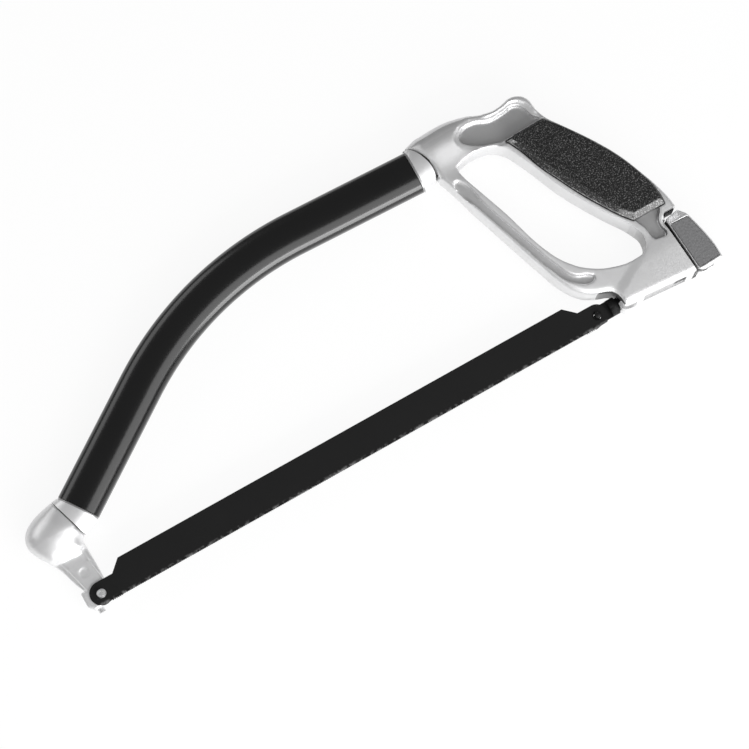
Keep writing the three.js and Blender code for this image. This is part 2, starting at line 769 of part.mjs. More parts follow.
function panelOutline() {
  const front = -camReach + panelMargin;
  const top = leverBottom + leverHeight - lipLength - 2 * seat;
  const shape = outline([[front, leverBottom + 2], [8, leverBottom + 2]]);
  shape.splineThru(vectors([[8.3, 3.8], [7.6, 12], [6.5, 19.2], [5.5, top - 1]]));
  shape.lineTo(front, top);
  return shape;
}

// The slope on one side of the lever's finger lip.
function lipWedge(side) {
  const half = leverThickness / 2;
  const start = leverBottom + leverHeight - lipLength;
  const shape = outline([
    [start, side * half],
    [start + 2 * lipLength, side * (half - 2 * lipFall)],
    [start + 2 * lipLength, side * 2 * half],
    [start, side * 2 * half],
  ]);
  const geometry = new THREE.ExtrudeGeometry(shape, { depth: 4 * half, bevelEnabled: false });
  geometry.applyMatrix4(new THREE.Matrix4().makeBasis(
    new THREE.Vector3(0, 1, 0), new THREE.Vector3(0, 0, 1), new THREE.Vector3(1, 0, 0)));
  geometry.translate(-2 * half, 0, 0);
  return solid(geometry);
}

function tensionLever() {
  const half = leverThickness / 2;
  const edge = camEdge();
  const corner = outline([...edge, [-2 * camReach, 3 * leverBottom], [-2 * camReach, edge[0][1]]]);
  const lobeHalf = plateHalfWidth + seat;
  const camCut = plate(corner, -lobeHalf, lobeHalf);
  const forkHalf = tongueThickness / 2 + seat;
  const forkReach = eyeRadius + 2 * seat;
  const fork = box(-overcut, -overcut, -forkHalf, forkReach, forkReach, forkHalf);
  const pinHole = uprightRod(0, 0, -half - 1, half - pinCover, leverPinDiameter + 2 * seat);
  const blank = plate(leverOutline(), -half, half, leverBevel, 2, 2);
  let body = blank.subtract(camCut).subtract(fork).subtract(pinHole);
  for (const side of [1, -1]) {
    body = body.subtract(lipWedge(side));
    const low = side > 0 ? half - panelThickness - seat : -half - 1;
    body = body.subtract(plate(inset(panelOutline(), -seat), low, low + panelThickness + seat + 1));
  }
  return leaned(body);
}

function leverPanel(side) {
  const outer = leverThickness / 2 + panelProud;
  const bottom = side > 0 ? outer - panelThickness : -outer;
  return leaned(plate(panelOutline(), bottom, bottom + panelThickness));
}

function leverPin() {
  const half = leverThickness / 2;
  const bottom = -half + panelThickness + 2 * seat - panelProud;
  return uprightRod(pivotX, pivotY, bottom, half - pinCover - seat, leverPinDiameter);
}

// Assembly
const front = new THREE.Group();
front.add(
  piece('bow_tube', bowTube(), blackGloss),
  piece('front_ferrule', ferrule(noseTubeEnd, noseSocket, 1), aluminium),
  piece('rear_ferrule', ferrule(rearTubeEnd, rearSocket, -1, rearJointDome), aluminium),
  piece('nose_casting', noseCasting(), aluminium),
  piece('nose_pin', crossPin(noseSocket, 1), steel),
  piece('front_blade_stud', uprightStud(), steel),
  piece('front_flush_stud', flushStudRod(0), steel),
  piece('blade', bladeSolid(), blackSteel),
);

const rear = new THREE.Group();
rear.position.x = rearStudX;
rear.add(
  piece('handle_casting', handleCasting(), aluminium),
  piece('handle_pin', crossPin(handleSocket, -1), steel),
  piece('grip_pad_near', gripPad(1), rubber),
  piece('grip_pad_far', gripPad(-1), rubber),
  piece('cam_plate', camPlate(), blackSteel),
  piece('draw_bar', drawBar(), blackSteel),
  piece('rear_blade_stud', uprightStud(), blackSteel),
  piece('tension_lever', tensionLever(), aluminium),
  piece('lever_pin', leverPin(), steel),
  piece('lever_panel_near', leverPanel(1), greyTexture),
  piece('lever_panel_far', leverPanel(-1), greyTexture),
);

const saw = new THREE.Group();
saw.name = 'hacksaw';
saw.add(front, rear);

// The origin is under the middle of the saw, on the surface that it lies on.
saw.updateMatrixWorld(true);
const bounds = new THREE.Box3().setFromObject(saw, true);
const centre = bounds.getCenter(new THREE.Vector3());
saw.position.set(-centre.x, -centre.y, -bounds.min.z);
saw.updateMatrixWorld(true);

export default saw;
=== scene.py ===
"""Looks for the tube-bow hacksaw: cast aluminium, lacquered tube, rubber grip, black blade, pale floor."""

import json
import math

import bmesh
import bpy
from mathutils import Matrix, Vector

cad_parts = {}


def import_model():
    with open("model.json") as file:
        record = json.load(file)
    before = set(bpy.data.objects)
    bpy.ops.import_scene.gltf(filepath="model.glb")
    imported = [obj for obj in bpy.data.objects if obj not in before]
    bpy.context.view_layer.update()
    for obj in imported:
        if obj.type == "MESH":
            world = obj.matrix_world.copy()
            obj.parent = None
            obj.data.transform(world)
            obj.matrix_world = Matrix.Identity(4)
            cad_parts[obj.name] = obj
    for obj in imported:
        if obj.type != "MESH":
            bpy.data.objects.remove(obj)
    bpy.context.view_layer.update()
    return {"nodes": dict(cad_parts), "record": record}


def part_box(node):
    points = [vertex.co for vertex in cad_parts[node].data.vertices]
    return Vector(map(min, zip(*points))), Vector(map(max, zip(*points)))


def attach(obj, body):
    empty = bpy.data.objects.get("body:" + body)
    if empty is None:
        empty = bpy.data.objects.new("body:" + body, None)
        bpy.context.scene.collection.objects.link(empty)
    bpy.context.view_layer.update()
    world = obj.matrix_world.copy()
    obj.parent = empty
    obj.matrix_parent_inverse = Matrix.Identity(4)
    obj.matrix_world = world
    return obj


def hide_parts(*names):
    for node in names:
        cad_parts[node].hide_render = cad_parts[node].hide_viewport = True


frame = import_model()

MM = 0.001


def middle(node):
    low, high = (Vector(corner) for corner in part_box(node))
    return (low + high) / 2


# The nose is drawn about the front stud and the handle about the rear stud, both in the saw's mid-plane.
# Places that the frame gives are in metres. Sizes and outlines that are typed here are in millimetres.
MID_Z = middle("bow_tube").z
FRONT_STUD = Vector((*middle("front_blade_stud").xy, MID_Z))
REAR_STUD = Vector((*middle("rear_blade_stud").xy, MID_Z))
TOOTH_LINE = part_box("blade")[0][1]

SEAT_GAP = 0.3


def about(origin, x, y, z=0.0):
    """The place in metres that lies some millimetres from an origin."""
    return origin + Vector((x, y, z)) * MM


# Materials

NOISE_RANGE = (0.3, 0.7)
TOOTH_WEAR_HEIGHT = 2.4


def grey(level, blue=0.0):
    """A grey, with a little more blue where asked."""
    return (level, level, level + blue, 1)


def material(name):
    made = bpy.data.materials.new(name)
    made.use_nodes = True
    tree = made.node_tree
    return made, tree, tree.nodes["Principled BSDF"]


def feed(tree, socket, value):
    """Sets a socket to a number or a colour, or links it to another node's output."""
    if isinstance(value, bpy.types.NodeSocket):
        tree.links.new(value, socket)
    else:
        socket.default_value = value


def object_place(tree):
    return tree.nodes.new("ShaderNodeTexCoord").outputs["Object"]


def face_mark(tree, name):
    """The value that a mesh's faces carry under a name."""
    node = tree.nodes.new("ShaderNodeAttribute")
    node.attribute_name = name
    return node.outputs["Fac"]


def noise(tree, place, scale, detail, roughness=0.5):
    node = tree.nodes.new("ShaderNodeTexNoise")
    feed(tree, node.inputs["Vector"], place)
    feed(tree, node.inputs["Scale"], scale)
    feed(tree, node.inputs["Detail"], detail)
    feed(tree, node.inputs["Roughness"], roughness)
    return node.outputs["Fac"]


def spread(tree, value, source, target):
    """Maps one range of a value onto another."""
    node = tree.nodes.new("ShaderNodeMapRange")
    feed(tree, node.inputs["Value"], value)
    for name, bound in zip(("From Min", "From Max", "To Min", "To Max"), (*source, *target)):
        feed(tree, node.inputs[name], bound)
    return node.outputs["Result"]


def maths(tree, operation, first, second):
    node = tree.nodes.new("ShaderNodeMath")
    node.operation = operation
    feed(tree, node.inputs[0], first)
    feed(tree, node.inputs[1], second)
    return node.outputs[0]


def mixed(tree, share, first, second):
    """A colour between two others."""
    node = tree.nodes.new("ShaderNodeMix")
    node.data_type = "RGBA"
    feed(tree, node.inputs["Factor"], share)
    feed(tree, node.inputs["A"], first)
    feed(tree, node.inputs["B"], second)
    return node.outputs["Result"]


def roughened(tree, shader, grain, least, most):
    """Varies the roughness with a grain."""
    feed(tree, shader.inputs["Roughness"], spread(tree, grain, NOISE_RANGE, (least, most)))


def bumped(tree, shader, grain, strength, depth):
    """Lets a grain stand out by a depth in millimetres."""
    node = tree.nodes.new("ShaderNodeBump")
    feed(tree, node.inputs["Height"], grain)
    feed(tree, node.inputs["Strength"], strength)
    feed(tree, node.inputs["Distance"], depth * MM)
    feed(tree, shader.inputs["Normal"], node.outputs["Normal"])


def satin_aluminium():
    """Blasted metal, with painted shade where a face carries the recess mark; the same mark also darkens
    the seams of joints.
    """
    made, tree, shader = material("satin_aluminium")
    place = object_place(tree)
    grain = noise(tree, place, scale=1400, detail=2)
    cloud = noise(tree, place, scale=60, detail=3)
    metal = mixed(tree, cloud, grey(0.70, blue=0.005), grey(0.80, blue=0.005))
    # Painted shade: the recess mark darkens the metal towards a dark grey in hollows, on inner walls and
    # along seams
    feed(tree, shader.inputs["Base Color"], mixed(tree, face_mark(tree, "recess"), metal, grey(0.10)))
    feed(tree, shader.inputs["Metallic"], 0.6)
    roughened(tree, shader, grain, least=0.30, most=0.44)
    bumped(tree, shader, grain, strength=0.18, depth=0.2)
    return made


def black_gloss_tube():
    made, tree, shader = material("black_gloss_tube")
    place = object_place(tree)
    grain = noise(tree, place, scale=900, detail=2)
    cloud = noise(tree, place, scale=25, detail=3)
    lacquer = mixed(tree, cloud, grey(0.0016, blue=0.0001), grey(0.0024, blue=0.0001))
    feed(tree, shader.inputs["Base Color"], lacquer)
    feed(tree, shader.inputs["Specular IOR Level"], 0.5)
    feed(tree, shader.inputs["Coat Weight"], 0.4)
    feed(tree, shader.inputs["Coat Roughness"], 0.12)
    roughened(tree, shader, grain, least=0.20, most=0.26)
    bumped(tree, shader, grain, strength=0.02, depth=0.1)
    return made


def black_steel():
    """Black paint that is worn in spots along the blade's teeth."""
    made, tree, shader = material("black_steel")
    place = object_place(tree)
    grain = noise(tree, place, scale=1600, detail=3)
    cloud = noise(tree, place, scale=40, detail=4)
    paint = mixed(tree, cloud, grey(0.0030, blue=0.0001), grey(0.0050, blue=0.0001))
    parts = tree.nodes.new("ShaderNodeSeparateXYZ")
    feed(tree, parts.inputs["Vector"], place)
    worn_band = (TOOTH_LINE, TOOTH_LINE + TOOTH_WEAR_HEIGHT * MM)
    near_teeth = spread(tree, parts.outputs["Y"], worn_band, (1.0, 0.0))
    spots = spread(tree, noise(tree, place, scale=420, detail=3), (0.46, 0.66), (0.0, 0.5))
    wear = maths(tree, "MULTIPLY", near_teeth, spots)
    feed(tree, shader.inputs["Base Color"], mixed(tree, wear, paint, grey(0.5)))
    feed(tree, shader.inputs["Specular IOR Level"], 0.25)
    roughened(tree, shader, grain, least=0.46, most=0.60)
    bumped(tree, shader, grain, strength=0.10, depth=0.1)
    return made


def bright_steel():
    made, tree, shader = material("bright_steel")
    grain = noise(tree, object_place(tree), scale=2200, detail=2)
    steel = mixed(tree, grain, grey(0.66, blue=0.005), grey(0.84, blue=0.005))
    feed(tree, shader.inputs["Base Color"], steel)
    feed(tree, shader.inputs["Metallic"], 0.7)
    roughened(tree, shader, grain, least=0.26, most=0.40)
    return made


def grip_rubber():
    """Flecked black rubber, with painted light: faces marked as a slope are coloured lighter, most where
    they face the lamps.
    """
    made, tree, shader = material("grip_rubber")
    place = object_place(tree)
    grain = noise(tree, place, scale=900, detail=3, roughness=0.7)
    fleck = spread(tree, noise(tree, place, scale=1500, detail=2), (0.53, 0.70), (0.0, 1.0))
    plain = mixed(tree, fleck, grey(0.0015), grey(0.15))
    # Painted light: the colour for slopes is much lighter, as if lit
    lit_slope_colour = mixed(tree, fleck, grey(0.16), grey(0.55))
    feed(tree, shader.inputs["Base Color"], mixed(tree, face_mark(tree, "slope"), plain, lit_slope_colour))
    feed(tree, shader.inputs["Specular IOR Level"], 0.4)
    roughened(tree, shader, grain, least=0.34, most=0.50)
    bumped(tree, shader, grain, strength=0.7, depth=0.5)
    return made


def grey_texture():
    made, tree, shader = material("grey_texture")
    grain = noise(tree, object_place(tree), scale=900, detail=3, roughness=0.65)
    inlay = mixed(tree, grain, grey(0.06, blue=0.001), grey(0.24, blue=0.005))
    feed(tree, shader.inputs["Base Color"], inlay)
    roughened(tree, shader, grain, least=0.60, most=0.80)
    bumped(tree, shader, grain, strength=0.45, depth=0.4)
    return made


FINISHES = {
    "satin_aluminium": satin_aluminium(),
    "black_gloss_tube": black_gloss_tube(),
    "black_steel": black_steel(),
    "bright_steel": bright_steel(),
    "grip_rubber": grip_rubber(),
    "grey_texture": grey_texture(),
}
SLOTS = {entry["node"]: entry["material_slot"] for entry in frame["record"]["subparts"]}
BODIES = {node: body for body, nodes in frame["record"]["behaviour"]["bodies"].items() for node in nodes}

# Each CAD part has its finish too
for node, thing in frame["nodes"].items():
    thing.data.materials.clear()
    thing.data.materials.append(FINISHES[SLOTS[node]])


# Mesh tools

MERGE_DISTANCE = 0.002
FLAT_WITHIN = math.radians(0.6)
CURVE_STEPS = 8
EDGE_STEPS = 3
ROUND_POINTS = 64


def scratch(name, bm):
    mesh = bpy.data.meshes.new(name)
    bm.to_mesh(mesh)
    bm.free()
    thing = bpy.data.objects.new(name, mesh)
    bpy.context.collection.objects.link(thing)
    return thing


def dropped(thing):
    bpy.data.objects.remove(thing, do_unlink=True)


def settled(thing):
    """Applies the modifiers of a thing to its mesh."""
    graph = bpy.context.evaluated_depsgraph_get()
    mesh = bpy.data.meshes.new_from_object(thing.evaluated_get(graph))
    thing.modifiers.clear()
    thing.data = mesh
    return thing


def remeshed(thing, voxel):
    remesh = thing.modifiers.new("remesh", "REMESH")
    remesh.mode = "VOXEL"
    remesh.voxel_size = voxel * MM
    return settled(thing)


def carved(thing, cutter, operation="DIFFERENCE"):
    cut = thing.modifiers.new("cut", "BOOLEAN")
    cut.operation = operation
    cut.solver = "MANIFOLD"
    cut.object = cutter
    settled(thing)
    dropped(cutter)
    return thing


def softened(thing, times, zone=None):
    """Evens out a mesh, all over or within a zone of two corners."""
    bm = bmesh.new()
    bm.from_mesh(thing.data)
    verts = bm.verts
    if zone:
        low, high = zone
        verts = [vert for vert in verts if low.x < vert.co.x < high.x and low.y < vert.co.y < high.y]
    for _ in range(times):
        bmesh.ops.smooth_vert(
            bm, verts=verts, factor=0.5, use_axis_x=True, use_axis_y=True, use_axis_z=True)
    bm.to_mesh(thing.data)
    bm.free()
    return thing


def thinned(thing):
    """Takes out the points that a flat face does not need."""
    thin = thing.modifiers.new("thin", "DECIMATE")
    thin.decimate_type = "DISSOLVE"
    thin.angle_limit = FLAT_WITHIN
    return settled(thing)


def joined(things):
    """One thing that holds the meshes of several."""
    bm = bmesh.new()
    for thing in things:
        bm.from_mesh(thing.data)
        dropped(thing)
    return scratch("joined", bm)


def placed(name, thing, sharp=None):
    """Makes a thing the piece that stands for a CAD node, with that node's body, slot and finish.
    Edges that turn by more than the sharp angle, in degrees, stay crisp."""
    thing.name = name + "_look"
    mesh = thing.data
    mesh.name = thing.name
    mesh.materials.clear()
    mesh.materials.append(FINISHES[SLOTS[name]])
    mesh.shade_smooth()
    if sharp is not None:
        mesh.set_sharp_from_angle(angle=math.radians(sharp))
    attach(thing, BODIES[name])
    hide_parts(name)
    return thing


def node_copy(node):
    """A merged copy of a CAD node's mesh."""
    bm = bmesh.new()
    bm.from_mesh(frame["nodes"][node].data)
    bmesh.ops.remove_doubles(bm, verts=bm.verts, dist=MERGE_DISTANCE * MM)
    return scratch(node, bm)


def outline_mesh(loops, fill, thickness=0.0, edge=0.0, inset=0.0):
    """The mesh of a flat curve through loops of (x, y) or (x, y, "corner") points."""
    curve = bpy.data.curves.new("outline", "CURVE")
    curve.dimensions = "2D"
    curve.fill_mode = fill
    curve.resolution_u = CURVE_STEPS
    curve.extrude = max(thickness / 2 - edge, 0) * MM
    curve.bevel_depth = edge * MM
    curve.bevel_resolution = EDGE_STEPS
    curve.offset = -(edge + inset) * MM
    for loop in loops:
        spline = curve.splines.new("BEZIER")
        spline.bezier_points.add(len(loop) - 1)
        spline.use_cyclic_u = True
        for point, (x, y, *corner) in zip(spline.bezier_points, loop):
            point.co = (x * MM, y * MM, 0)
            kind = "VECTOR" if corner else "AUTO"
            point.handle_left_type = kind
            point.handle_right_type = kind
    thing = bpy.data.objects.new("outline", curve)
    bpy.context.collection.objects.link(thing)
    bpy.context.view_layer.update()
    graph = bpy.context.evaluated_depsgraph_get()
    mesh = bpy.data.meshes.new_from_object(thing.evaluated_get(graph))
    dropped(thing)
    return mesh


def facing_out(bm):
    bmesh.ops.recalc_face_normals(bm, faces=bm.faces)
    if bm.calc_volume(signed=True) < 0:
        bmesh.ops.reverse_faces(bm, faces=bm.faces)


def flat_shape(loop, bottom, top, origin, edge=0.0, inset=0.0):
    """A plate of the given outline, its rims rounded by edge."""
    bm = bmesh.new()
    bm.from_mesh(outline_mesh([loop], "BOTH", top - bottom, edge, inset))
    bmesh.ops.remove_doubles(bm, verts=bm.verts, dist=MERGE_DISTANCE * MM)
    facing_out(bm)
    bmesh.ops.translate(bm, vec=about(origin, 0, 0, (bottom + top) / 2), verts=bm.verts)
    return scratch("plate", bm)


def stacked(layers, origin):
    """A closed form through outlines of like points, each with its height."""
    bm = bmesh.new()
    rims = []
    for loop, height in layers:
        base = about(origin, 0, 0, height)
        rims.append([bm.verts.new(vert.co + base) for vert in outline_mesh([loop], "NONE").vertices])
    for low, high in zip(rims, rims[1:]):
        for i, vert in enumerate(low):
            bm.faces.new((low[i - 1], vert, high[i], high[i - 1]))
    bm.faces.new(rims[0])
    bm.faces.new(rims[-1])
    bmesh.ops.triangulate(bm, faces=bm.faces)
    facing_out(bm)
    return scratch("stack", bm)


def block(low, high, origin, lean=0.0):
    """A box between two corners about an origin, turned about that origin by a lean."""
    low, high = Vector(low) * MM, Vector(high) * MM
    bm = bmesh.new()
    bmesh.ops.create_cube(bm, size=1.0)
    bmesh.ops.scale(bm, vec=high - low, verts=bm.verts)
    bmesh.ops.translate(bm, vec=(low + high) / 2, verts=bm.verts)
    bmesh.ops.rotate(bm, matrix=Matrix.Rotation(lean, 3, "Z"), verts=bm.verts)
    bmesh.ops.translate(bm, vec=origin, verts=bm.verts)
    return scratch("block", bm)


def upright_disc(centre, radius, half_depth):
    """A round disc with its axis along Z."""
    bm = bmesh.new()
    bmesh.ops.create_cone(
        bm, cap_ends=True, segments=ROUND_POINTS, radius1=radius * MM, radius2=radius * MM,
        depth=2 * half_depth * MM)
    bmesh.ops.translate(bm, vec=centre, verts=bm.verts)
    return scratch("disc", bm)


def rod(start, end, radius, origin):
    """A round rod along X, from its start to its end."""
    bm = bmesh.new()
    bmesh.ops.create_cone(
        bm, cap_ends=True, segments=ROUND_POINTS, radius1=radius * MM, radius2=radius * MM,
        depth=(end - start) * MM)
    bmesh.ops.rotate(bm, matrix=Matrix.Rotation(math.pi / 2, 3, "Y"), verts=bm.verts)
    bmesh.ops.translate(bm, vec=about(origin, (start + end) / 2, 0), verts=bm.verts)
    return scratch("rod", bm)


def ball(centre, radius):
    bm = bmesh.new()
    bmesh.ops.create_uvsphere(bm, u_segments=48, v_segments=24, radius=radius * MM)
    bmesh.ops.translate(bm, vec=centre, verts=bm.verts)
    return scratch("ball", bm)


def skinned(bm, faces):
    """Bridges a row of faces, leaves only the two end ones, and returns the strips between them."""
    strips = []
    for first, second in zip(faces, faces[1:]):
        strips.append(bmesh.ops.bridge_loops(bm, edges=[*first.edges, *second.edges])["faces"])
    for face in faces[1:-1]:
        bm.faces.remove(face)
    return strips


# Bow tube and ferrules

# An end is its x and y about a stud, and the lean of its axis in degrees
FRONT_TUBE_END = (11.2, 45.6, 34.6)
FRONT_SOCKET = (4.0, 43.1, 17.4)
REAR_TUBE_END = (-46.2, 117.2, -1.9)
REAR_SOCKET = (-41.9, 118.4, 18)
REAR_JOINT_DOME = 4.2
TUBE_WIDTH = 24.0
TUBE_THICKNESS = 15.0
BEND_RADIUS = 186.0
BEND_STEPS = 48
SECTION_POINTS = 56
SECTION_POWER = 2.5

COLLAR_PROUD = 0.4
COLLAR_ROUND = 0.25
LIP_PROUD = -0.2
LIP_WIDTH = 0.9
LIP_STEP = 0.05
LIP_SKIN = 0.6
SEAM_SKIN = 0.95


def station(end, origin, along=0.0):
    """A matrix that stands a section square to the axis of a tube end."""
    x, y, lean = end
    turn = Matrix.Rotation(math.radians(lean), 4, "Z")
    return Matrix.Translation(about(origin, x, y)) @ turn @ Matrix.Translation((along * MM, 0, 0))


def section_face(bm, width, thickness, place, dome=0.0, power=SECTION_POWER):
    """A flat-oval face across the X axis of a place. A dome carries its near and far sides along that axis.
    A power of 2 gives an ellipse, and a higher one flatter sides."""
    verts = bmesh.ops.create_circle(bm, cap_ends=True, segments=SECTION_POINTS, radius=1.0)["verts"]
    for vert in verts:
        across = math.copysign(abs(vert.co.x) ** (2 / power), vert.co.x)
        deep = math.copysign(abs(vert.co.y) ** (2 / power), vert.co.y)
        vert.co = Vector((dome * deep ** 2, across * width / 2, deep * thickness / 2)) * MM
    bmesh.ops.transform(bm, matrix=place, verts=verts)
    return verts[0].link_faces[0]


def pulled(bm, face, shift):
    """Extrudes a face along a shift and returns the face at the new end."""
    made = bmesh.ops.extrude_face_region(bm, geom=[face])["geom"]
    verts = [part for part in made if isinstance(part, bmesh.types.BMVert)]
    bmesh.ops.translate(bm, vec=shift, verts=verts)
    return next(part for part in made if isinstance(part, bmesh.types.BMFace))


def bow_tube():
    """A straight leg from each end, with one round bend between them."""
    front = station(FRONT_TUBE_END, FRONT_STUD, SEAT_GAP)
    rear = station(REAR_TUBE_END, REAR_STUD, -SEAT_GAP)
    ahead, behind = front.col[0].xyz, rear.col[0].xyz
    chord = rear.translation - front.translation
    reach = chord.cross(behind).z / ahead.cross(behind).z
    corner = front.translation + ahead * reach
    turn = ahead.angle(behind)
    tangent = BEND_RADIUS * MM * math.tan(turn / 2)
    centre = corner - ahead * tangent + Vector((ahead.y, -ahead.x, 0)) * BEND_RADIUS * MM
    bm = bmesh.new()
    first = section_face(bm, TUBE_WIDTH, TUBE_THICKNESS, front)
    leg = pulled(bm, first, ahead * (reach - tangent))
    bent = bmesh.ops.spin(
        bm, geom=[leg, *leg.edges, *leg.verts], cent=centre, axis=(0, 0, -1), angle=turn,
        steps=BEND_STEPS, use_duplicate=False)["geom_last"]
    last = next(part for part in bent if isinstance(part, bmesh.types.BMFace))
    far = (rear.translation - last.calc_center_median()).dot(behind)
    pulled(bm, last, behind * far)
    bmesh.ops.remove_doubles(bm, verts=bm.verts, dist=MERGE_DISTANCE * MM)
    bmesh.ops.recalc_face_normals(bm, faces=bm.faces)
    placed("bow_tube", scratch("bow_tube", bm), sharp=50)


def ferrule(name, tube_end, socket_end, origin, towards, dome=0.0):
    """A collar with a narrow lip beside the tube.
    Towards is the sense of the tube's axis on its way to the socket."""
    bm = bmesh.new()
    skin = bm.faces.layers.float.new("recess")
    faces = []
    for end, along, proud, bulge in (
        (tube_end, 0.0, LIP_PROUD, 0.0),
        (tube_end, LIP_WIDTH, LIP_PROUD, 0.0),
        (tube_end, LIP_WIDTH + LIP_STEP, COLLAR_PROUD, 0.0),
        (socket_end, 0.0, COLLAR_PROUD, dome),
    ):
        place = station(end, origin, towards * along)
        faces.append(section_face(bm, TUBE_WIDTH + 2 * proud, TUBE_THICKNESS + 2 * proud, place, bulge))
    lip, *_ = skinned(bm, faces)
    for face in lip:
        face[skin] = LIP_SKIN
    faces[-1][skin] = SEAM_SKIN
    rims = [*faces[0].edges, *faces[-1].edges]
    bmesh.ops.bevel(
        bm, geom=rims, offset=COLLAR_ROUND * MM, segments=EDGE_STEPS, profile=0.5, affect="EDGES",
        material=-1)
    bmesh.ops.recalc_face_normals(bm, faces=bm.faces)
    placed(name, scratch(name, bm), sharp=40)


bow_tube()
ferrule("front_ferrule", FRONT_TUBE_END, FRONT_SOCKET, FRONT_STUD, -1)
ferrule("rear_ferrule", REAR_TUBE_END, REAR_SOCKET, REAR_STUD, 1, REAR_JOINT_DOME)


# Forms that both castings use

def swept(sections, origin, dome=0.0):
    """A smooth closed form through flat-oval sections.
    Each is given by its two ends across the saw, its thickness and perhaps its power."""
    bm = bmesh.new()
    crease = bm.edges.layers.float.new("crease_edge")
    faces = []
    for outer, inner, thickness, *power in sections:
        across = Vector((*outer, 0)) - Vector((*inner, 0))
        centre = (Vector((*outer, 0)) + Vector((*inner, 0))) / 2
        lean = math.atan2(across.y, across.x) - math.pi / 2
        place = Matrix.Translation(origin + centre * MM) @ Matrix.Rotation(lean, 4, "Z")
        faces.append(section_face(bm, across.length, thickness, place, 0.0 if faces else dome, *power))
    skinned(bm, faces)
    for edge in faces[0].edges:
        edge[crease] = 1.0
    bmesh.ops.recalc_face_normals(bm, faces=bm.faces)
    form = scratch("swept", bm)
    smooth = form.modifiers.new("smooth", "SUBSURF")
    smooth.levels = 2
    smooth.render_levels = 2
    return settled(form)


def collar_section(end, thickness, along):
    """The section of a casting where it meets its collar, moved a little along the socket's axis."""
    x, y, lean = end
    half = TUBE_WIDTH / 2 + COLLAR_PROUD
    turn = math.radians(lean)
    x += along * math.cos(turn)
    y += along * math.sin(turn)
    rise, run = half * math.cos(turn), half * math.sin(turn)
    return (x - run, y + rise), (x + run, y - rise), thickness


# Nose casting, about the front stud

NOSE_SECTIONS = [
    collar_section(FRONT_SOCKET, 16.0, -SEAT_GAP),
    ((-9, 53), (6.4, 30.4), 19, 2.1),
    ((-15.8, 50.4), (5.6, 29.6), 20, 2),
    ((-20.6, 46.2), (5.2, 28.8), 20, 2),
    ((-22.4, 41), (5, 28), 19, 2),
    ((-21.2, 35.2), (4.9, 27.2), 17, 2.1),
    ((-18.4, 30.6), (4.9, 27), 15, 2.4),
    ((-16.2, 27.4), (4.9, 26.6), 12, 2.8),
    ((-14.4, 24.6), (4.9, 25.6), 8, 3),
]
FOOT = [(5.2, -5.8, "corner"), (-6.2, -5.8, "corner"), (-9.2, -2.8, "corner"), (-9.2, 5.6, "corner")]
ARM_BACK = [
    (5, 30, "corner"), (5.4, 18), *FOOT, (-6.6, 5.6, "corner"), (-9.4, 11.9), (-12.4, 21),
    (-17.5, 30, "corner"),
]
ARM_FACE = [
    (2.4, 30, "corner"), (3.4, 16), (5.2, 4), *FOOT, (-5.6, 5.6, "corner"), (-7.2, 11.9), (-9.8, 21),
    (-13, 30, "corner"),
]
ARM_BACK_HEIGHTS = (-8.6, -2.6)
ARM_FACE_HEIGHTS = (-8, -0.65)
ARM_ROUND = 0.6
HEEL_PLACE = (-1.4, 31.4)
HEEL_RADIUS = 6.9
DIMPLE_X = -2.3
DIMPLE_Y = 14.2
DIMPLE_RADIUS = 2.65
DIMPLE_FLOOR = -0.95
DIMPLE_CUTTER_TOP = 2
NOSE_VOXEL = 0.4
NOSE_SOFT_ZONE = (about(FRONT_STUD, -30, 19), about(FRONT_STUD, 12, 37))


def arm_dimple():
    """A cutter for the shallow round dimple in the arm's near side."""
    loop = [
        (DIMPLE_X + DIMPLE_RADIUS, DIMPLE_Y),
        (DIMPLE_X, DIMPLE_Y + DIMPLE_RADIUS),
        (DIMPLE_X - DIMPLE_RADIUS, DIMPLE_Y),
        (DIMPLE_X, DIMPLE_Y - DIMPLE_RADIUS),
    ]
    return flat_shape(loop, DIMPLE_FLOOR, DIMPLE_CUTTER_TOP, FRONT_STUD)


def nose_casting():
    bulb = swept(NOSE_SECTIONS, FRONT_STUD)
    arm_back = flat_shape(ARM_BACK, *ARM_BACK_HEIGHTS, FRONT_STUD, ARM_ROUND)
    arm_face = flat_shape(ARM_FACE, *ARM_FACE_HEIGHTS, FRONT_STUD, ARM_ROUND)
    heel = ball(about(FRONT_STUD, *HEEL_PLACE), HEEL_RADIUS)
    body = joined([bulb, arm_back, arm_face, heel])
    remeshed(body, NOSE_VOXEL)
    carved(body, arm_dimple())
    remeshed(body, NOSE_VOXEL)
    softened(body, times=4)
    softened(body, times=30, zone=NOSE_SOFT_ZONE)
    placed("nose_casting", body)


# Handle casting and its grip pads, about the rear stud

HANDLE_HALF = 9.0
HANDLE_ROUND = 2.4
CUTTER_HALF = HANDLE_HALF + 4
CUTTER_REACH = 20
UNDERSIDE_CORNER = (14.3, -3.4)

BACK_EDGE = [
    (65.3, 34.7), (63.7, 42.4), (59.3, 55.9), (54.4, 68.7), (48.5, 79.9), (42.1, 90.2), (35.3, 100.1),
    (30.2, 107.9),
]
HANDLE_OUTLINE = [
    (-20, 112, "corner"), (-36.4, 106, "corner"), (-25.7, 72.2), (-14.2, 36), (-9.4, 22.9), (-2.6, 13.3),
    (2, 10.2), (6.4, 8.2), (10.9, 6.4), (13.2, 3.6), (14, 0.4), (*UNDERSIDE_CORNER, "corner"),
    (63.7, -7, "corner"), (63.7, 23.1, "corner"), (55.7, 23.7, "corner"), (56.0, 25.0), (58.2, 26.4),
    (66, 26.6, "corner"),
    *BACK_EDGE, (28.2, 114), (27.4, 120.6), (24.4, 124.7), (18.6, 126.6), (12.4, 125.2), (6.1, 124.9),
    (-1.5, 127.2), (-8, 130, "corner"), (-16, 122, "corner"),
]
